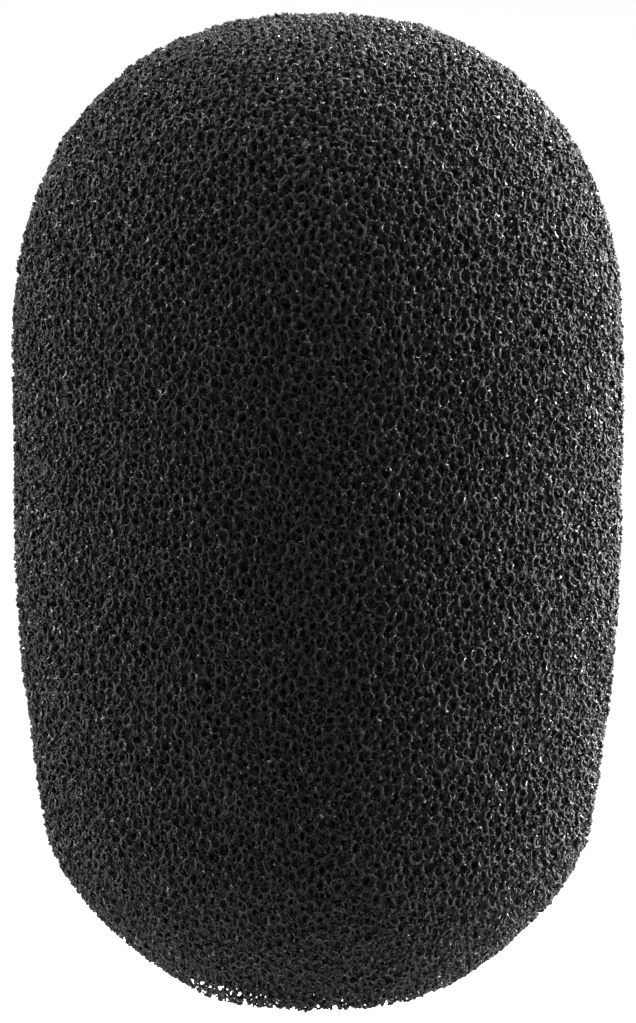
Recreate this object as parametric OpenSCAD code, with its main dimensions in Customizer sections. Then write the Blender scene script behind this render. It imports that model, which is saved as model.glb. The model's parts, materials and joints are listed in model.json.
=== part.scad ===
// Long foam windscreen for a pencil microphone.
// The origin is the centre of the base, +Z runs up through the crown, and all sizes are millimetres.
// The microphone goes in from below, through the grip ring and up the lined bore to the end pad.

/* [Foam body] */
// Largest diameter of the foam
body_d = 62; // [56:0.5:68]
// Height from the base to the crown
body_h = 100; // [94:0.5:108]
// Height at which the foam is widest, above the tapered flank
widest_z = 51; // [44:0.5:56]
// Height at which the crown starts to close
crown_z = 66; // [60:0.5:70]
// Roundness of the crown: 2 is an ellipse, and more is squarer
crown_n = 2.3; // [2:0.05:3]
// Radius of the flat rim that the windscreen stands on
base_flat_r = 12.4; // [12:0.1:14]
// Radius at the top of the lower corner
corner_r = 28.1; // [27:0.1:29]
// Height of the lower corner
corner_z = 17; // [15:0.5:20]
// How far the lower corner runs out flat before it turns up
corner_base_pull = 1.8; // [1:0.1:4]
// How far the lower corner runs down along the flank before it turns in
corner_flank_pull = 8.4; // [6:0.2:10]

/* [Microphone bore] */
// Diameter of the microphone that the grip ring fits
mic_d = 20; // [18:0.5:20]
// Depth from the base to the end pad
bore_depth = 58; // [50:1:62]
// Thickness of the knitted liner
liner_t = 0.7; // [0.4:0.1:0.8]
// Thickness of the end pad
pad_t = 4; // [3:0.5:6]

/* [Mouth and grip ring] */
// Radial clearance of the foam mouth round the microphone
mouth_clearance = 0.4; // [0.3:0.1:0.6]
// Width of the chamfer that breaks the edge of the mouth
mouth_chamfer = 0.4; // [0.2:0.1:0.5]
// Depth of the grip ring's lower end inside the mouth
ring_z = 2; // [1.5:0.5:4]
// Height of the grip ring
ring_h = 8; // [6:0.5:10]
// Wall thickness of the grip ring
ring_wall = 2.4; // [2:0.1:2.6]
// Lead-in chamfer at the ring's lower edge
ring_lead_in = 0.8; // [0.4:0.1:1]
// Chamfer at the ring's upper edge
ring_top_chamfer = 0.4; // [0.2:0.1:0.6]
// Number of relief slots, which let the ring's fingers spread
slot_count = 6; // [4:1:8]
// Width of one relief slot
slot_w = 1.4; // [1:0.1:1.6]
// Height of the relief slots, down from the ring's upper end
slot_h = 4; // [3:0.5:5]

/* [Adhesive] */
// Thickness of both glue films
glue_t = 0.2; // [0.1:0.05:0.3]
// Distance that each glue film stays back from the edges of what it holds
glue_inset = 0.5; // [0.3:0.1:0.8]

/* [Hidden] */

body_r = body_d / 2;
mic_r = mic_d / 2;
mouth_r = mic_r + mouth_clearance;
liner_out_r = mic_r + liner_t;
ring_out_r = mic_r + ring_wall;
ring_top_z = ring_z + ring_h;
pocket_r = ring_out_r + glue_t;
pad_top_z = bore_depth + pad_t;
blind_z = pad_top_z + glue_t;

// How much the flank's radius grows for each millimetre of height, where it meets the corner
flank_slope = 2 * (body_r - corner_r) / (widest_z - corner_z);

// Steps along each stretch of the outline
corner_steps = 16;
flank_steps = 8;
crown_steps = 28;

// How far one cutter runs past the face that it opens
through = 1;
$fn = 128;

// Lower corner, from the flat rim up to the flank, as one cubic curve tangent to both
corner_start = [base_flat_r, 0];
corner_start_pull = corner_start + [corner_base_pull, 0];
corner_end = [corner_r, corner_z];
corner_end_pull = corner_end - corner_flank_pull * [flank_slope, 1] / norm([flank_slope, 1]);
function corner_point(i) =
    let (t = i / corner_steps, u = 1 - t)
    u * u * u * corner_start
        + 3 * u * u * t * corner_start_pull
        + 3 * u * t * t * corner_end_pull
        + t * t * t * corner_end;

// Flank, which swells by a parabola from the corner to the widest height
function flank_point(i) =
    let (below = 1 - i / flank_steps)
    [
        body_r - (body_r - corner_r) * below * below,
        widest_z - (widest_z - corner_z) * below
    ];

// Crown, from the straight middle up to the axis, as a quarter of a superellipse
function crown_point(i) =
    let (turn = 90 * i / crown_steps)
    [
        body_r * pow(cos(turn), 2 / crown_n),
        crown_z + (body_h - crown_z) * pow(sin(turn), 2 / crown_n)
    ];

function body_outline() = concat(
    [[0, 0]],
    [for (i = [0 : corner_steps]) corner_point(i)],
    [for (i = [1 : flank_steps]) flank_point(i)],
    [for (i = [0 : crown_steps - 1]) crown_point(i)],
    [[0, body_h]]
);

module tube(inner_r, outer_r, low_z, high_z) {
    difference() {
        translate([0, 0, low_z]) cylinder(r = outer_r, h = high_z - low_z);
        translate([0, 0, low_z - through]) cylinder(r = inner_r, h = high_z - low_z + 2 * through);
    }
}

// Outer body of reticulated foam, drilled from below: mouth, ring pocket and blind bore
module foam_body() {
    color([0.07, 0.07, 0.075])
    difference() {
        rotate_extrude() polygon(body_outline());
        translate([0, 0, -through]) cylinder(r = mouth_r, h = ring_z + 2 * through);
        translate([0, 0, -through])
            cylinder(r1 = mouth_r + mouth_chamfer + through, r2 = mouth_r, h = mouth_chamfer + through);
        translate([0, 0, ring_z]) cylinder(r = pocket_r, h = ring_h);
        translate([0, 0, ring_z]) cylinder(r = liner_out_r, h = blind_z - ring_z);
    }
}

// Knitted sleeve that lines the bore from the grip ring up to the end pad
module bore_liner() {
    color([0.16, 0.16, 0.17])
    tube(mic_r, liner_out_r, ring_top_z, bore_depth);
}

// Disc of dense foam that the microphone's grille stops against
module end_pad() {
    color([0.12, 0.12, 0.13])
    translate([0, 0, bore_depth]) cylinder(r = liner_out_r, h = pad_t);
}

// Glue film between the end pad and the blind end of the bore
module pad_adhesive() {
    color([0.75, 0.70, 0.55])
    translate([0, 0, pad_top_z]) cylinder(r = liner_out_r - glue_inset, h = glue_t);
}

// One relief slot, cut through the ring's wall at the given turn
module relief_slot(turn) {
    rotate([0, 0, turn])
        translate([mic_r / 2, -slot_w / 2, ring_top_z - slot_h])
            cube([ring_out_r, slot_w, slot_h + through]);
}

// Elastomer ring with soft fingers, which grips the microphone's body
module grip_ring() {
    color([0.05, 0.05, 0.05])
    difference() {
        tube(mic_r, ring_out_r, ring_z, ring_top_z);
        translate([0, 0, ring_z - through])
            cylinder(r1 = mic_r + ring_lead_in + through, r2 = mic_r, h = ring_lead_in + through);
        translate([0, 0, ring_top_z - ring_top_chamfer])
            cylinder(r1 = mic_r, r2 = mic_r + ring_top_chamfer + through, h = ring_top_chamfer + through);
        for (i = [0 : slot_count - 1]) relief_slot(360 * i / slot_count);
    }
}

// Glue film between the outside of the grip ring and its pocket in the foam
module ring_adhesive() {
    color([0.75, 0.70, 0.55])
    tube(ring_out_r, pocket_r, ring_z + glue_inset, ring_top_z - slot_h - glue_inset);
}

foam_body();
bore_liner();
end_pad();
pad_adhesive();
grip_ring();
ring_adhesive();
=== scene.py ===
"""A long foam windscreen for a pencil microphone, standing on its base.

The foam is a real net of struts. A random packing of cells is worked out once, in a cube that repeats; the
struts between its cells are found; and copies of the cube fill a shell under the foam's surface. A dark core
stands for the foam deeper in, with painted shade in its pores. Everything is in metres, in the frame's axes: +Z up,
and the camera looks from -Y.
"""

import itertools
import json
import math

import bpy
import numpy as np
from mathutils import Euler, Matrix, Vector


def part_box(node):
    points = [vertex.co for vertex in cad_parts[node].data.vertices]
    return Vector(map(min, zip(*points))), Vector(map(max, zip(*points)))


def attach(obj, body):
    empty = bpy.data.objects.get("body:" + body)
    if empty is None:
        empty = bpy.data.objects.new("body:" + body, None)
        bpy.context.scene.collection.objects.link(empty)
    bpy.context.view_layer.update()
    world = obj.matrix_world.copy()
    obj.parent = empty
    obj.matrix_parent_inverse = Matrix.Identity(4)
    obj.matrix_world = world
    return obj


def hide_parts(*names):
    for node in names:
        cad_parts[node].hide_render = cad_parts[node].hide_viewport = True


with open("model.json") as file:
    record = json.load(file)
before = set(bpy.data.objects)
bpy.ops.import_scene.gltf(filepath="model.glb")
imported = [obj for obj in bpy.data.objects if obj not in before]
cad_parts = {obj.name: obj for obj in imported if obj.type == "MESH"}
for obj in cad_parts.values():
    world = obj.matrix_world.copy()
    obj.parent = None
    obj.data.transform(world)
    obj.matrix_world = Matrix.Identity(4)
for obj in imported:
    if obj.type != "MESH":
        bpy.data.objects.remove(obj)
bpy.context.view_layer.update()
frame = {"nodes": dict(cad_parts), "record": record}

MM = 0.001
SEED = 20

# ---------------------------------------------------------------- named values

# The foam's cells
CELL = 1.45 * MM  # side of the cube that holds two cells
CUBE_CELLS = 600  # cells in the cube that repeats
CUBE_TURN = (0.61, 0.37, 1.13)  # Euler angles of that cube, so that no row of copies lines up with the part
TALL = 1.22  # stretch of the cells along the axis, which narrows them to keep their volume
PUSHES = 120  # rounds in which the cells push each other apart
PUSH = 0.3  # share of an overlap that one round takes out
SPREAD = 1.07  # gap at which two cells stop pushing, in sides of the cube that holds one cell
TRIED = 19  # nearest cells that may share a corner with a cell
TESTED = 34  # nearest cells that a corner is tested against
EVEN_ROUNDS = 3  # rounds in which each corner moves towards the middle of its neighbours
CUBES_AT_ONCE = 40  # copies of the cube that are worked on together, which limits the memory used
TINY = 1e-9

# The foam's surface
SHELL_T = 1.9 * MM  # depth of the net of struts
ROUGH = 0.14 * MM  # how far the cut surface wanders in and out
WANDERS = (9.0 * MM, 5.0 * MM, 3.0 * MM, 2.2 * MM)  # wavelengths of that wandering
WAVES_EACH = 3  # waves of each of those lengths, in random directions
WANDER_SEED = SEED + 2
FRAYS = (  # places where whole cells stand proud: azimuth, height, half-widths of both, and how far
    (-2.05, 1.6 * MM, 0.30, 1.6 * MM, 0.40 * MM),
    (-1.66, 1.2 * MM, 0.07, 1.2 * MM, 0.60 * MM),
    (-1.22, 1.8 * MM, 0.10, 1.4 * MM, 0.60 * MM),
    (0.35, 84.0 * MM, 0.10, 3.0 * MM, 0.40 * MM),
    (2.60, 6.0 * MM, 0.20, 2.0 * MM, 0.60 * MM),
)
TEAR = (-2.52, 0.68)  # azimuth and half-width of the place where the rim is torn
TEAR_DEPTH = 1.5 * MM
TEAR_TOP = 3.0 * MM  # height to which it goes up the outside
LOOP_DEPTH = 0.31 * MM  # the outermost loops still hang across the tear down to this depth,
LOOP_R = 13.6 * MM  # and from this radius out

# The foam's struts
SHORTEST = 0.1 * MM  # stubs shorter than this are left out
STRUT_R = 0.125 * MM  # from a strut's axis to its three edges, halfway along it
STRUT_VARY = 0.14  # spread of that radius from strut to strut, as a share
NODE_SWELL = 1.7  # how much thicker a strut is where it meets others
BEND = 0.07  # sideways bend of a strut, as a share of its length
SKIN_T = 0.75 * MM  # struts less deep than this have a bent middle
BENT_FACES, STRAIGHT_FACES = 14.0, 8.0  # triangles in a strut, its two ends included
GLINTS = 0.10  # share of the struts that are glossy
BANDS, SECTORS = 4, 5  # the net's pieces, in height and in azimuth

# The mouth and the bore
MIC_R = frame["record"]["mounts"][0]["dims"]["r_mm"] * MM  # inside of the liner
MOUTH_CLEARANCE = 0.4 * MM
MOUTH_R = MIC_R + MOUTH_CLEARANCE  # inside of the foam's mouth
TOUCH = 0.01 * MM  # places less than this apart count as one
SAME_LEVEL = 0.002 * MM  # heights less than this apart count as one
ABOVE_BORE = 0.1 * MM  # points up to this far above the blind end still belong to the bore

# The core, the liner and the pad
CORE_GAP = 0.92  # depth of the core's skin, in depths of the net
TURN_STEPS = 96
CLEAR = 0.05 * MM  # gap between the core and what it surrounds
WALES, COURSES = 64, 56  # the liner's stitches, round it and along it
WALE_STEPS, COURSE_STEPS = 5, 4  # mesh steps across one stitch
STITCH_RELIEF = 0.16 * MM
STITCH_LEAN = 0.9  # how far a stitch's legs lean into a V, in courses
STITCH_ROWS = 0.65  # share of the relief that the courses make
FADE_ROWS = 3  # mesh rows over which the relief fades out at each end of the liner
PAD_RELIEF = 0.22 * MM
PAD_EDGE = 0.5 * MM
PAD_STEPS, PAD_RINGS, PAD_BENDS = 120, 34, 6  # mesh steps round the pad, across its faces and over its edge
PAD_EYE = 0.4 * MM  # radius of the innermost ring
PAD_SEED = SEED + 7


def new_mesh(name, verts, quads=(), tris=(), smooth=True):
    """A mesh object from arrays of corner places, four-sided faces and three-sided faces."""
    quads = np.asarray(quads, np.int32).reshape(-1, 4)
    tris = np.asarray(tris, np.int32).reshape(-1, 3)
    loops = np.concatenate([quads.ravel(), tris.ravel()])
    sizes = np.repeat([4, 3], [len(quads), len(tris)])
    mesh = bpy.data.meshes.new(name)
    mesh.vertices.add(len(verts))
    mesh.vertices.foreach_set("co", np.asarray(verts, np.float32).ravel())
    mesh.loops.add(len(loops))
    mesh.loops.foreach_set("vertex_index", loops)
    mesh.polygons.add(len(sizes))
    mesh.polygons.foreach_set("loop_start", (np.cumsum(sizes) - sizes).astype(np.int32))
    mesh.polygons.foreach_set("use_smooth", np.full(len(sizes), smooth))
    mesh.update(calc_edges=True)
    obj = bpy.data.objects.new(name, mesh)
    bpy.context.scene.collection.objects.link(obj)
    return obj


def ring_quads(rows, steps):
    """Four-sided faces between neighbouring rows of points, each row closed round the axis."""
    i, j = np.meshgrid(np.arange(rows - 1), np.arange(steps), indexing="ij")
    j2 = (j + 1) % steps
    low, high = i * steps, (i + 1) * steps
    return np.stack([low + j, low + j2, high + j2, high + j], 2).reshape(-1, 4)


def fan(first, steps, middle, up):
    """Three-sided faces from one row of points to its middle point, which face up or down."""
    j = np.arange(steps)
    j2 = (j + 1) % steps
    a, b = (j, j2) if up else (j2, j)
    return np.stack([first + a, first + b, np.full(steps, middle)], 1)


def around(radius, height, steps):
    """Points round the axis for each radius and height."""
    angle = 2 * math.pi * np.arange(steps) / steps
    radius, height = np.asarray(radius)[:, None], np.asarray(height)[:, None]
    return np.stack([radius * np.cos(angle), radius * np.sin(angle), height + 0 * angle], 2).reshape(-1, 3)


# ---------------------------------------------------------------- the foam's outline


def body_profile():
    """Radius and height of points along the CAD foam's outline, from the middle of its base to its crown."""
    verts = frame["nodes"]["foam_body"].data.vertices
    co = np.empty(len(verts) * 3)
    verts.foreach_get("co", co)
    co = co.reshape(-1, 3)
    radius, height = np.hypot(co[:, 0], co[:, 1]), co[:, 2]
    pocket_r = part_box("ring_adhesive")[1][0] + TOUCH
    bore_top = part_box("pad_adhesive")[1][2] + ABOVE_BORE
    bored = (radius < pocket_r) & (height > TOUCH) & (height < bore_top)
    radius, height = radius[~bored], height[~bored]
    levels = np.unique(np.round(height, 6))
    widest = [radius[np.abs(height - z) < SAME_LEVEL].max() for z in levels]
    return np.concatenate([[[0, 0]], np.stack([widest, levels], 1)])


class Depth:
    """Depth of a point under the foam's outer surface, looked up in a grid over radius and height."""

    step = 0.25 * MM
    margin = 3 * MM

    def __init__(self, profile):
        reach = profile.max(0) + self.margin
        self.r = np.arange(0, reach[0], self.step)
        self.z = np.arange(-self.margin, reach[1], self.step)
        rr, zz = np.meshgrid(self.r, self.z, indexing="ij")
        near = np.full(rr.shape, np.inf)
        for a, b in zip(profile[:-1], profile[1:]):
            along = b - a
            t = ((rr - a[0]) * along[0] + (zz - a[1]) * along[1]) / (along @ along)
            t = np.clip(t, 0, 1)
            near = np.minimum(near, np.hypot(rr - a[0] - t * along[0], zz - a[1] - t * along[1]))
        outline = np.interp(zz, profile[1:, 1], profile[1:, 0], left=-1, right=-1)
        self.grid = np.where(rr < outline, near, -near)

    def __call__(self, p):
        r = np.hypot(p[..., 0], p[..., 1]) / self.step
        z = (p[..., 2] + self.margin) / self.step
        i = np.clip(r.astype(int), 0, len(self.r) - 2)
        j = np.clip(z.astype(int), 0, len(self.z) - 2)
        u, v = np.clip(r - i, 0, 1), np.clip(z - j, 0, 1)
        g = self.grid
        low = g[i, j] * (1 - u) + g[i + 1, j] * u
        high = g[i, j + 1] * (1 - u) + g[i + 1, j + 1] * u
        return low * (1 - v) + high * v


# ---------------------------------------------------------------- a random foam that repeats


def cell_centres(rng):
    """Random points in a cube that repeats, pushed apart until they lie about evenly, and the cube's side."""
    side = CUBE_CELLS ** (1 / 3)
    p = rng.random((CUBE_CELLS, 3)) * side
    for _ in range(PUSHES):
        away = p[:, None] - p[None]
        away -= side * np.round(away / side)
        gap = np.linalg.norm(away, axis=2)
        np.fill_diagonal(gap, np.inf)
        push = np.clip(SPREAD - gap, 0, None) / gap
        p = (p + PUSH * (away * push[:, :, None]).sum(1)) % side
    return p, side


def equally_far(n, half, triples):
    """For each three of the neighbours n, the point as far from them as from the cell itself, which lies at 0.
    half is half of each neighbour's squared distance."""
    a, b, c = (n[triples[:, k]] for k in range(3))
    ha, hb, hc = (half[triples[:, k], None] for k in range(3))
    bc, ca, ab = np.cross(b, c), np.cross(c, a), np.cross(a, b)
    det = (a * bc).sum(1)
    det[np.abs(det) < TINY] = TINY
    return (ha * bc + hb * ca + hc * ab) / det[:, None]


def voronoi_corners(p, side):
    """The corners where four cells meet: each corner's place, its four cells, lowest number first, and which
    copy of the cube each of those cells is in."""
    to = p[None] - p[:, None]
    copy = -np.round(to / side).astype(int)
    to = to + side * copy
    gap = np.linalg.norm(to, axis=2)
    np.fill_diagonal(gap, np.inf)
    near = np.argsort(gap, 1)[:, :TESTED]
    triples = np.array(list(itertools.combinations(range(TRIED), 3)))
    places, cells, copies = [], [], []
    for i in range(len(p)):
        n = to[i, near[i]]
        half = 0.5 * (n * n).sum(1)
        x = equally_far(n, half, triples)
        ids = near[i][triples]
        good = (ids > i).all(1) & (x @ n.T <= half + TINY).all(1)
        order = np.argsort(ids[good], 1)
        ids = np.take_along_axis(ids[good], order, 1)
        shift = np.take_along_axis(copy[i, near[i]][triples[good]], order[:, :, None], 1)
        places.append(p[i] + x[good])
        cells.append(np.column_stack([np.full(len(ids), i), ids]))
        copies.append(np.concatenate([np.zeros((len(ids), 1, 3), int), shift], 1))
    return np.concatenate(places), np.concatenate(cells), np.concatenate(copies)


def struts_between(cells, copies):
    """Pairs of corners that share three cells, and which copy of the cube the second corner is in."""
    keys, owner, base = [], [], []
    for face in itertools.combinations(range(4), 3):
        ids, shift = cells[:, face], copies[:, face]
        step = (shift[:, 1:] - shift[:, :1]).reshape(-1, 6)
        keys.append(np.column_stack([ids, step]))
        owner.append(np.arange(len(cells)))
        base.append(shift[:, 0])
    keys, owner, base = np.concatenate(keys), np.concatenate(owner), np.concatenate(base)
    order = np.lexsort(keys.T)
    keys, owner, base = keys[order], owner[order], base[order]
    same = np.flatnonzero((keys[1:] == keys[:-1]).all(1))
    return owner[same], owner[same + 1], base[same] - base[same + 1]


def evened(place, side, a, b, shift):
    """Each corner moved towards the middle of its neighbours, a few times over."""
    for _ in range(EVEN_ROUNDS):
        total, count = np.zeros_like(place), np.zeros(len(place))
        np.add.at(total, a, place[b] + side * shift)
        np.add.at(total, b, place[a] - side * shift)
        np.add.at(count, a, 1)
        np.add.at(count, b, 1)
        place = 0.5 * (place + total / np.maximum(count, 1)[:, None])
    return place


def cubes_in_shell(to_part, side, depth):
    """The copies of the repeating cube that reach into the shell."""
    low, high = (np.array(c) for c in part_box("foam_body"))
    ends = np.array(list(itertools.product(*zip(low, high)))) @ np.linalg.inv(to_part).T / side
    first, last = np.floor(ends.min(0)).astype(int) - 1, np.ceil(ends.max(0)).astype(int) + 1
    cubes = np.array(list(itertools.product(*(range(f, l) for f, l in zip(first, last)))))
    reach = 0.5 * side * np.linalg.norm(to_part, axis=0).max() * math.sqrt(3)
    d = depth((cubes + 0.5) * side @ to_part.T)
    return cubes[(d > -reach) & (d < SHELL_T + reach)]


def shell_struts(depth):
    """Both ends of every strut whose middle lies in the shell or a little outside it."""
    p, side = cell_centres(np.random.default_rng(SEED))
    place, cells, copies = voronoi_corners(p, side)
    a, b, shift = struts_between(cells, copies)
    place = evened(place, side, a, b, shift)
    one_cell = CELL / 2 ** (1 / 3)
    stretch = np.array([TALL**-0.5, TALL**-0.5, TALL])[:, None]
    to_part = np.array(Euler(CUBE_TURN).to_matrix()) * one_cell * stretch
    cubes = cubes_in_shell(to_part, side, depth)
    furthest_out = 2 * ROUGH + max(fray[-1] for fray in FRAYS)
    starts, ends = [], []
    for group in np.array_split(cubes, max(1, len(cubes) // CUBES_AT_ONCE)):
        moved = group[:, None] * side
        s = ((place[a] + moved) @ to_part.T).reshape(-1, 3)
        e = ((place[b] + side * shift + moved) @ to_part.T).reshape(-1, 3)
        d = depth(0.5 * (s + e))
        keep = (d > -furthest_out) & (d < SHELL_T)
        starts.append(s[keep])
        ends.append(e[keep])
    return np.concatenate(starts), np.concatenate(ends)


def wander(p):
    """A smooth random field, about -1 to 1, by which the cut surface wanders."""
    rng = np.random.default_rng(WANDER_SEED)
    total = np.zeros(len(p))
    for wavelength in np.repeat(WANDERS, WAVES_EACH):
        way = rng.normal(size=3)
        way *= 2 * math.pi / wavelength / np.linalg.norm(way)
        total += np.sin(p @ way + rng.random() * 2 * math.pi)
    return total / math.sqrt(WAVES_EACH * len(WANDERS))


def frayed(p):
    """How far the surface stands proud at each point, where whole cells were left on it."""
    azimuth = np.arctan2(p[:, 1], p[:, 0])
    proud = np.zeros(len(p))
    for middle, height, half_turn, half_height, far in FRAYS:
        away = np.angle(np.exp(1j * (azimuth - middle))) / half_turn
        proud += far * np.exp(-(away**2) - ((p[:, 2] - height) / half_height) ** 2)
    return proud


def torn(p, depth):
    """Whether each point is in the tear, which closes towards its ends and its top."""
    middle, half_turn = TEAR
    away = np.angle(np.exp(1j * (np.arctan2(p[:, 1], p[:, 0]) - middle))) / half_turn
    open_depth = TEAR_DEPTH * (1 - away**4 - (p[:, 2] / TEAR_TOP) ** 4)
    loops = (depth(p) < LOOP_DEPTH) & (np.hypot(p[:, 0], p[:, 1]) > LOOP_R)
    return (depth(p) < open_depth) & ~loops


def cut_struts(s, e, depth):
    """What the blade and the bore left of the struts. Those that cross the wandering surface end there."""
    under_s, under_e = (depth(end) - ROUGH * wander(end) + frayed(end) for end in (s, e))
    along = np.clip(under_s / (under_s - under_e), 0, 1)[:, None]
    crossing = s + (e - s) * along
    s, e = (np.where(under[:, None] < 0, crossing, end) for under, end in ((under_s, s), (under_e, e)))
    pocket_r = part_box("ring_adhesive")[1][0]
    ring_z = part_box("grip_ring")[0][2]
    bore_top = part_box("pad_adhesive")[1][2]
    lowest = np.minimum(s[:, 2], e[:, 2])
    nearest = np.minimum(np.hypot(s[:, 0], s[:, 1]), np.hypot(e[:, 0], e[:, 1]))
    left = (nearest > np.where(lowest < ring_z, MOUTH_R, pocket_r)) | (lowest > bore_top)
    left &= (under_s > 0) | (under_e > 0)
    left &= (lowest > STRUT_R) & (np.linalg.norm(e - s, axis=1) > SHORTEST)
    left &= ~torn(0.5 * (s + e), depth)
    return s[left], e[left]


# ---------------------------------------------------------------- the foam's net and its core


def stands_for_foam(piece):
    """Says that the piece takes the place of the CAD foam."""
    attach(piece, "root")
    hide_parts("foam_body")


def strut_rings(s, e, rng):
    """Three points round each strut at its first end, its middle, which is thinner and bent aside, and its last."""
    count = len(s)
    along = e - s
    length = np.linalg.norm(along, axis=1, keepdims=True)
    along /= length
    side = np.cross(along, rng.normal(size=(count, 3)))
    side /= np.linalg.norm(side, axis=1, keepdims=True)
    up = np.cross(along, side)
    radius = STRUT_R * np.exp(rng.normal(0, STRUT_VARY, (count, 1, 1)))
    turn = 2 * math.pi * np.arange(3) / 3
    spokes = side[:, None] * np.cos(turn)[None, :, None] + up[:, None] * np.sin(turn)[None, :, None]
    sideways = side * length * BEND * rng.normal(0, 1, (count, 1))
    first, last = (end[:, None] + spokes * radius * NODE_SWELL for end in (s, e))
    middle = (0.5 * (s + e) + sideways)[:, None] + spokes * radius
    return first, middle, last


def strut_piece(name, s, e, bent, depth, rng):
    """One piece of the net: closed three-sided struts from s to e. Only bent ones have the ring of points in the
    middle, and some are glossy. A strut that would reach below the floor is flattened on it."""
    first, middle, last = strut_rings(s, e, rng)
    glossy = rng.random(len(s)) < GLINTS
    verts, quads, tris, quad_gloss, tri_gloss = [], [], [], [], []
    base = 0
    for chosen, rings in ((bent, (first, middle, last)), (~bent, (first, last))):
        points = 3 * len(rings)
        verts.append(np.concatenate([ring[chosen] for ring in rings], 1).reshape(-1, 3))
        start = base + np.arange(int(chosen.sum()))[:, None] * points
        for low, j in itertools.product(range(0, points - 3, 3), range(3)):
            j2 = (j + 1) % 3
            quads.append(start + np.array([[low + j, low + j2, low + 3 + j2, low + 3 + j]]))
            quad_gloss.append(glossy[chosen])
        for cap in ([2, 1, 0], [points - 3, points - 2, points - 1]):
            tris.append(start + np.array([cap]))
            tri_gloss.append(glossy[chosen])
        base += len(start) * points
    verts = np.concatenate(verts)
    verts[:, 2] = np.maximum(verts[:, 2], 0)
    piece = new_mesh(name, verts, np.concatenate(quads), np.concatenate(tris))
    gloss = np.concatenate(quad_gloss + tri_gloss)
    piece.data.polygons.foreach_set("material_index", gloss.astype(np.int32))
    # depth under the surface, by which the strut material paints deeper struts lighter, as painted light
    layer = piece.data.attributes.new("depth", "FLOAT", "POINT")
    layer.data.foreach_set("value", (depth(verts) / SHELL_T).astype(np.float32))
    return piece


def equal_parts(order, weight, parts):
    """A part from 0 to parts - 1 for each item of order, so that each part's weights add up to about as much."""
    share = np.cumsum(weight[order]) / weight[order].sum()
    return np.minimum((share * parts).astype(int), parts - 1)


def foam_net(depth, materials):
    """The whole net, in pieces that each hold about as many faces."""
    s, e = cut_struts(*shell_struts(depth), depth)
    mid = 0.5 * (s + e)
    bent = depth(mid) < SKIN_T
    faces = np.where(bent, BENT_FACES, STRAIGHT_FACES)
    azimuth = np.arctan2(mid[:, 1], mid[:, 0])
    by_height = np.argsort(mid[:, 2])
    bands = equal_parts(by_height, faces, BANDS)
    for band in range(BANDS):
        here = by_height[bands == band]
        here = here[np.argsort(azimuth[here])]
        sectors = equal_parts(here, faces, SECTORS)
        for sector in range(SECTORS):
            ids = here[sectors == sector]
            rng = np.random.default_rng([SEED, band, sector])
            name = f"foam_net_{band + 1}_{sector + 1}"
            piece = strut_piece(name, s[ids], e[ids], bent[ids], depth, rng)
            for mat in materials:
                piece.data.materials.append(mat)
            stands_for_foam(piece)


def core_skin(profile, pocket_r, bore_top):
    """The foam's outline moved in by the net's depth, as radius and height."""
    outline = profile[1:]
    tangent = np.gradient(outline, axis=0)
    tangent /= np.linalg.norm(tangent, axis=1, keepdims=True)
    inward = np.stack([-tangent[:, 1], tangent[:, 0]], 1)
    skin = outline + inward * SHELL_T * CORE_GAP
    clear_of_bore = (skin[:, 0] > pocket_r) | (skin[:, 1] > bore_top)
    return skin[clear_of_bore & (skin[:, 0] > 0)]


def foam_core(profile, mat):
    """The foam below the net, as one closed skin of revolution with a bore for the ring, liner and pad."""
    liner_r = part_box("bore_liner")[1][0] + CLEAR
    pocket_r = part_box("ring_adhesive")[1][0] + CLEAR
    ring_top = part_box("grip_ring")[1][2] + CLEAR
    bore_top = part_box("pad_adhesive")[1][2] + CLEAR
    skin = core_skin(profile, pocket_r, bore_top)
    bore = [[liner_r, bore_top], [liner_r, ring_top], [pocket_r, ring_top], [pocket_r, skin[0, 1]]]
    rows = np.concatenate([bore, skin])
    points = len(rows) * TURN_STEPS
    verts = np.concatenate([around(*rows.T, TURN_STEPS), [[0, 0, bore_top], [0, 0, skin[-1, 1]]]])
    ends = [fan(0, TURN_STEPS, points, False), fan(points - TURN_STEPS, TURN_STEPS, points + 1, True)]
    core = new_mesh("foam_core", verts, ring_quads(len(rows), TURN_STEPS), np.concatenate(ends))
    core.data.materials.append(mat)
    stands_for_foam(core)


# ---------------------------------------------------------------- the liner and the end pad


def stitch_height(round_it, along_it):
    """Height, 0 to 1, of a plain knit: each wale is a column of V-shaped stitches with two legs."""
    across = round_it % 1
    legs = 0.5 - 0.5 * np.cos(4 * math.pi * across)
    rows = 0.5 + 0.5 * np.cos(2 * math.pi * (along_it + STITCH_LEAN * np.abs(across - 0.5)))
    return legs * (1 - STITCH_ROWS + STITCH_ROWS * rows)


def knitted_liner(mat):
    """A closed tube with knitted stitches in relief on its inside."""
    low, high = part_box("bore_liner")
    steps, rows = WALES * WALE_STEPS, COURSES * COURSE_STEPS + 1
    across, up = np.meshgrid(np.arange(steps) / WALE_STEPS, np.arange(rows) / COURSE_STEPS)
    from_edge = np.minimum(np.arange(rows), np.arange(rows)[::-1])[:, None]
    relief = STITCH_RELIEF * stitch_height(across, up) * np.clip(from_edge / FADE_ROWS, 0, 1)
    radius = MIC_R + STITCH_RELIEF - relief
    angle = 2 * math.pi * np.arange(steps) / steps
    height = np.linspace(low[2], high[2], rows)[:, None] + 0 * radius
    inside = np.stack([radius * np.cos(angle), radius * np.sin(angle), height], 2).reshape(-1, 3)
    outside = around(np.full(2, high[0] - CLEAR), [high[2], low[2]], steps)
    walls = ring_quads(rows + 2, steps)
    last = (rows + 1) * steps
    foot = ring_quads(2, steps)
    foot = np.where(foot >= steps, foot - steps, foot + last)
    liner = new_mesh("knitted_liner", np.concatenate([inside, outside]), np.concatenate([walls, foot])[:, ::-1])
    liner.data.materials.append(mat)
    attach(liner, "root")
    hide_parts("bore_liner")


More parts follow.
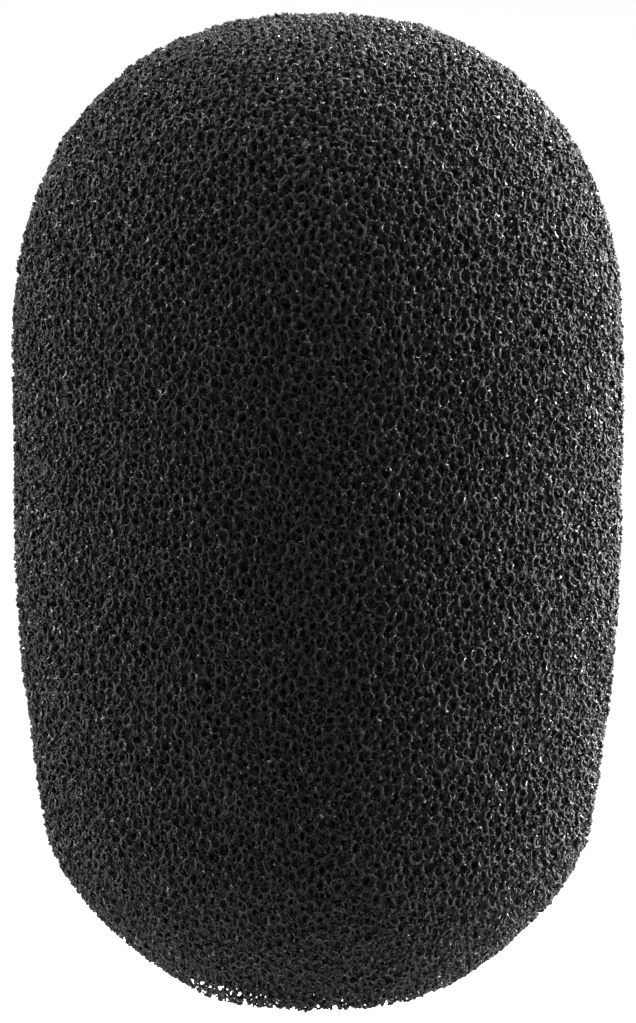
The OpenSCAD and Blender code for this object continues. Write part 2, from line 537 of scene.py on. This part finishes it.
def pad_profile(outer_r, half_t):
    """Radius and height of the pad's rings, from the middle of its top over its round edge to the underside."""
    face_r = np.linspace(PAD_EYE, outer_r - PAD_EDGE, PAD_RINGS)
    bend = np.linspace(0, math.pi / 2, PAD_BENDS + 1)[1:]
    edge_r = outer_r - PAD_EDGE + PAD_EDGE * np.sin(bend)
    edge_z = half_t - PAD_EDGE + PAD_EDGE * np.cos(bend)
    radius = np.concatenate([face_r, edge_r, edge_r[::-1], face_r[::-1]])
    face_z = np.full(PAD_RINGS, half_t)
    return radius, np.concatenate([face_z, edge_z, -edge_z[::-1], -face_z])


def end_pad(mat):
    """A disc of fine foam with soft edges, and faces that its pores break up."""
    low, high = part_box("end_pad")
    middle_z, half_t = 0.5 * (low[2] + high[2]), 0.5 * (high[2] - low[2])
    radius, height = pad_profile(high[0] - CLEAR, half_t)
    verts = around(radius, height, PAD_STEPS)
    flat = np.abs(verts[:, 2]) > half_t - TOUCH
    pits = PAD_RELIEF * np.random.default_rng(PAD_SEED).random(flat.sum()) ** 2
    verts[flat, 2] -= np.sign(verts[flat, 2]) * pits
    points = len(verts)
    verts = np.concatenate([verts, [[0, 0, half_t], [0, 0, -half_t]]]) + [0, 0, middle_z]
    ends = [fan(0, PAD_STEPS, points, True), fan(points - PAD_STEPS, PAD_STEPS, points + 1, False)]
    walls = ring_quads(len(radius), PAD_STEPS)[:, ::-1]
    pad = new_mesh("fine_foam_pad", verts, walls, np.concatenate(ends))
    pad.data.materials.append(mat)
    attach(pad, "root")
    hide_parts("end_pad")


# ---------------------------------------------------------------- materials


def grey(value, warmth=0.0):
    """Red, green and blue of a grey. A negative warmth makes it bluer."""
    return (value * (1 + warmth), value, value * (1 - warmth))


class Shader:
    """A Principled material, with short ways to add nodes and join them."""

    def __init__(self, name, roughness, specular):
        self.mat = bpy.data.materials.new(name)
        self.mat.use_nodes = True
        self.tree = self.mat.node_tree
        self.surface = self.tree.nodes["Principled BSDF"]
        self.surface.inputs["Roughness"].default_value = roughness
        self.surface.inputs["Specular IOR Level"].default_value = specular
        self.place = self.add("ShaderNodeTexCoord").outputs["Object"]

    def add(self, kind, **values):
        node = self.tree.nodes.new(kind)
        for key, value in values.items():
            node.inputs[key].default_value = value
        return node

    def join(self, output, node, socket):
        self.tree.links.new(output, node.inputs[socket])

    def noise(self, scale, detail=2.0):
        node = self.add("ShaderNodeTexNoise", Scale=scale, Detail=detail)
        self.join(self.place, node, "Vector")
        return node.outputs["Fac"]

    def cells(self, scale):
        node = self.add("ShaderNodeTexVoronoi", Scale=scale)
        self.join(self.place, node, "Vector")
        return node.outputs["Distance"]

    def plus(self, value, extra, share):
        """value plus a share of extra."""
        node = self.add("ShaderNodeMath")
        node.operation = "MULTIPLY_ADD"
        self.join(extra, node, 0)
        node.inputs[1].default_value = share
        self.join(value, node, 2)
        return node.outputs[0]

    def colour(self, factor, *stops):
        """Base colour from a factor, by stops of position and colour, in rising order."""
        ramp = self.add("ShaderNodeValToRGB")
        points = ramp.color_ramp.elements
        while len(points) < len(stops):
            points.new(0.5)
        for point, (position, rgb) in zip(points, stops):
            point.position = position
            point.color = (*rgb, 1)
        self.join(factor, ramp, "Fac")
        self.join(ramp.outputs["Color"], self.surface, "Base Color")

    def bump(self, height, distance, strength=1.0):
        node = self.add("ShaderNodeBump", Distance=distance, Strength=strength)
        self.join(height, node, "Height")
        self.join(node.outputs["Normal"], self.surface, "Normal")


def strut_material(name, roughness, specular):
    """Black polyurethane, with painted light: deeper struts get a lighter colour, which stands in for light that
    scatters into the foam and keeps the pores between the struts from looking empty where little light gets in."""
    shader = Shader(name, roughness, specular)
    depth = shader.add("ShaderNodeAttribute")
    depth.attribute_name = "depth"
    factor = shader.plus(depth.outputs["Fac"], shader.noise(scale=900.0), share=0.25)
    # painted light: the colour rises with depth, so deeper struts are lighter
    shader.colour(factor, (0.0, grey(0.011, -0.02)), (0.45, grey(0.026, -0.02)), (1.0, grey(0.062, -0.02)))
    return shader.mat


def core_material():
    """Foam seen through the net, as a cell pattern: the dark pores are painted shade, and the struts between them
    are painted light, lighter than the struts at the surface.
    """
    shader = Shader("deep_foam", roughness=1.0, specular=0.0)
    shader.colour(shader.cells(1 / CELL), (0.15, grey(0.014)), (0.75, grey(0.042)))
    return shader.mat


def knit_material():
    """Charcoal yarn with fine fuzz."""
    shader = Shader("charcoal_knit", roughness=0.85, specular=0.2)
    shader.colour(shader.noise(scale=2600.0, detail=4.0), (0.3, grey(0.022)), (0.7, grey(0.050)))
    shader.bump(shader.noise(scale=5200.0), distance=0.05 * MM)
    return shader.mat


def pad_material():
    """Charcoal foam with pores too fine for the mesh; the pores' darkness is painted shade."""
    shader = Shader("fine_foam", roughness=0.9, specular=0.15)
    pores = shader.cells(scale=2200.0)
    shader.colour(pores, (0.1, grey(0.014)), (0.6, grey(0.062)))
    shader.bump(pores, distance=0.15 * MM)
    return shader.mat


def elastomer_material():
    """Black moulded elastomer with a finely etched skin."""
    shader = Shader("satin_elastomer", roughness=0.42, specular=0.5)
    shader.colour(shader.noise(scale=300.0, detail=3.0), (0.3, grey(0.015)), (0.7, grey(0.022)))
    shader.bump(shader.noise(scale=4200.0), distance=0.02 * MM, strength=0.6)
    return shader.mat


def glue_material():
    """Cured contact adhesive, pale amber and uneven."""
    shader = Shader("amber_glue", roughness=0.3, specular=0.5)
    shader.colour(shader.noise(scale=500.0), (0.3, (0.50, 0.42, 0.26)), (0.7, (0.60, 0.53, 0.38)))
    shader.bump(shader.noise(scale=700.0), distance=0.05 * MM)
    return shader.mat


def dress(node, mat):
    """Gives a CAD node its material."""
    slots = frame["nodes"][node].data.materials
    slots.clear()
    slots.append(mat)


# ---------------------------------------------------------------- studio

ELEVATION = math.radians(9)  # the camera looks down a little
TARGET = Vector((0, 0, 49.3 * MM))
VIEW_HEIGHT = 104.7 * MM  # what the picture's height spans at the part's axis
LENS, SENSOR = 200.0, 36.0  # millimetres
FLOOR_SIZE = 16.0
FLOOR_GLOW = 0.90  # the floor's own colour is dark, and it looks pale because it glows like a panel lit from below
SPOT_GLOW = 1.7  # how much more it glows under the part
SPOT_R = 75 * MM  # where that falls to nothing
WORLD_LIGHT = 0.10
OVERHEAD = 4.3  # strength of a sun so wide that it acts as a soft light from above
OVERHEAD_ANGLE = math.radians(70)
OVERHEAD_TILT = math.radians(15)  # towards the back
LIGHT_AIM = Vector((0, 0, 50 * MM))
LIGHT_AWAY = 0.8  # from there to each softbox
SOFTBOXES = {  # azimuth from the camera towards +X, elevation, width, height and watts
    "right_rim": (119, 13, 1.20, 1.00, 140.0),
    "left_rim": (-113, 25, 1.00, 0.80, 19.0),
    "left_fill": (-86, 5, 0.80, 0.50, 11.0),
}


def softbox(name, azimuth, elevation, width, height, power):
    """A rectangular light that faces the part."""
    data = bpy.data.lights.new(name, "AREA")
    data.shape = "RECTANGLE"
    data.size, data.size_y = width, height
    data.energy = power
    a, e = math.radians(azimuth), math.radians(elevation)
    away = Vector((math.cos(e) * math.sin(a), -math.cos(e) * math.cos(a), math.sin(e)))
    light = bpy.data.objects.new(name, data)
    light.location = LIGHT_AIM + LIGHT_AWAY * away
    light.rotation_euler = away.to_track_quat("Z", "Y").to_euler()
    bpy.context.scene.collection.objects.link(light)


def overhead_light():
    data = bpy.data.lights.new("overhead", "SUN")
    data.energy = OVERHEAD
    data.angle = OVERHEAD_ANGLE
    overhead = bpy.data.objects.new("overhead", data)
    overhead.rotation_euler.x = -OVERHEAD_TILT
    bpy.context.scene.collection.objects.link(overhead)


def lights():
    """The softboxes, the light from above, and a weak even light from all round."""
    for name, values in SOFTBOXES.items():
        softbox(name, *values)
    overhead_light()
    world = bpy.data.worlds.new("studio")
    world.use_nodes = True
    background = world.node_tree.nodes["Background"].inputs
    background["Color"].default_value = (1, 1, 1, 1)
    background["Strength"].default_value = WORLD_LIGHT
    bpy.context.scene.world = world


def floor_material():
    """A glowing panel, brightest under the part."""
    shader = Shader("pale_floor", roughness=0.9, specular=0.1)
    shader.colour(shader.noise(scale=1.5), (0.3, grey(0.040)), (0.7, grey(0.045)))
    shader.surface.inputs["Emission Color"].default_value = (1, 1, 1, 1)
    spot = shader.add("ShaderNodeTexGradient")
    spot.gradient_type = "SPHERICAL"
    size = shader.add("ShaderNodeMapping", Scale=(1 / SPOT_R,) * 3)
    shader.join(shader.place, size, "Vector")
    shader.join(size.outputs["Vector"], spot, "Vector")
    glow = shader.add("ShaderNodeMath")
    glow.operation = "MULTIPLY_ADD"
    shader.join(spot.outputs["Fac"], glow, 0)
    glow.inputs[1].default_value = SPOT_GLOW
    glow.inputs[2].default_value = FLOOR_GLOW
    shader.join(glow.outputs[0], shader.surface, "Emission Strength")
    return shader.mat


def floor():
    half = FLOOR_SIZE / 2
    corners = [(-half, -half, 0), (half, -half, 0), (half, half, 0), (-half, half, 0)]
    plane = new_mesh("floor", corners, [[0, 1, 2, 3]], smooth=False)
    plane.data.materials.append(floor_material())


def camera():
    """Looks at the part from the front, from a little above."""
    data = bpy.data.cameras.new("camera")
    data.lens, data.sensor_fit = LENS, "VERTICAL"
    data.sensor_height = SENSOR
    back = Vector((0, -math.cos(ELEVATION), math.sin(ELEVATION)))
    obj = bpy.data.objects.new("camera", data)
    obj.location = TARGET + VIEW_HEIGHT * LENS / SENSOR * back
    obj.rotation_euler = back.to_track_quat("Z", "Y").to_euler()
    bpy.context.scene.collection.objects.link(obj)
    bpy.context.scene.camera = obj


# ---------------------------------------------------------------- the scene

camera()
floor()
lights()
bpy.context.scene.view_settings.view_transform = "Standard"

profile = body_profile()
depth = Depth(profile)
black_foam = strut_material("black_foam", roughness=0.70, specular=0.22)
glossy_foam = strut_material("glossy_foam", roughness=0.25, specular=0.50)
foam_net(depth, (black_foam, glossy_foam))
foam_core(profile, core_material())
knitted_liner(knit_material())
end_pad(pad_material())
dress("grip_ring", elastomer_material())
glue = glue_material()
dress("pad_adhesive", glue)
dress("ring_adhesive", glue)
